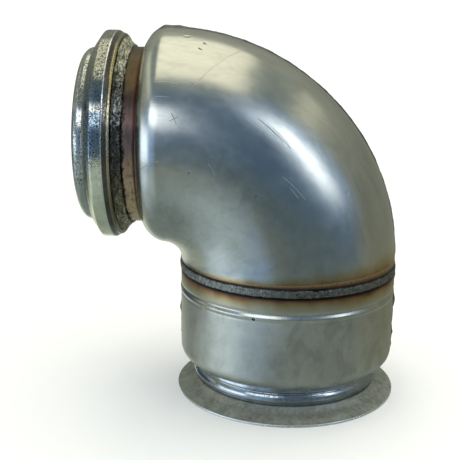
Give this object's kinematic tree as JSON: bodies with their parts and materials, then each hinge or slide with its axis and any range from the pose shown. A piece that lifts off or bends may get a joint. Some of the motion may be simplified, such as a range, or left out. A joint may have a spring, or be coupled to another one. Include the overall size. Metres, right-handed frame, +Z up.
{
  "type": "flue elbow",
  "caption": "Twin-wall stainless right-angle elbow: pressed casing round a smaller liner, with a turned clamp flange on one leg and a flared clamp flange on the other.",
  "frame": {"origin": "middle of the whole part's box, on the plane of the outlet face that it stands on", "axes": "+Z up along the outlet leg, inlet leg pointing along -X, the bend lies in the XZ plane"},
  "size_m": [0.1848, 0.131, 0.2155],
  "materials": {
    "satin_stainless": "satin pressed sheet with a warm grey cast",
    "turned_stainless": "turned, bright, lightly pitted",
    "tinted_stainless": "heat tinted straw to brown",
    "weld_metal": "dark oxidised granular weld",
    "mineral_fibre": "needled mineral fibre mat"
  },
  "bodies": {
    "root": {"inlet_flange": "turned_stainless", "inlet_flange_weld": "weld_metal", "liner_front_half": "tinted_stainless", "liner_back_half": "tinted_stainless", "liner_outer_seam_weld": "weld_metal", "liner_inner_seam_weld": "weld_metal", "insulation_front_half": "mineral_fibre", "insulation_back_half": "mineral_fibre", "elbow_casing_front_half": "satin_stainless", "elbow_casing_back_half": "satin_stainless", "elbow_outer_seam_weld": "weld_metal", "elbow_inner_seam_weld": "weld_metal", "girth_weld": "weld_metal", "cup_casing_front_half": "satin_stainless", "cup_casing_back_half": "satin_stainless", "cup_outer_seam_weld": "weld_metal", "cup_inner_seam_weld": "weld_metal", "outlet_sleeve": "turned_stainless", "outlet_flange": "satin_stainless", "outlet_root_weld": "weld_metal"}
  },
  "joints": []
}
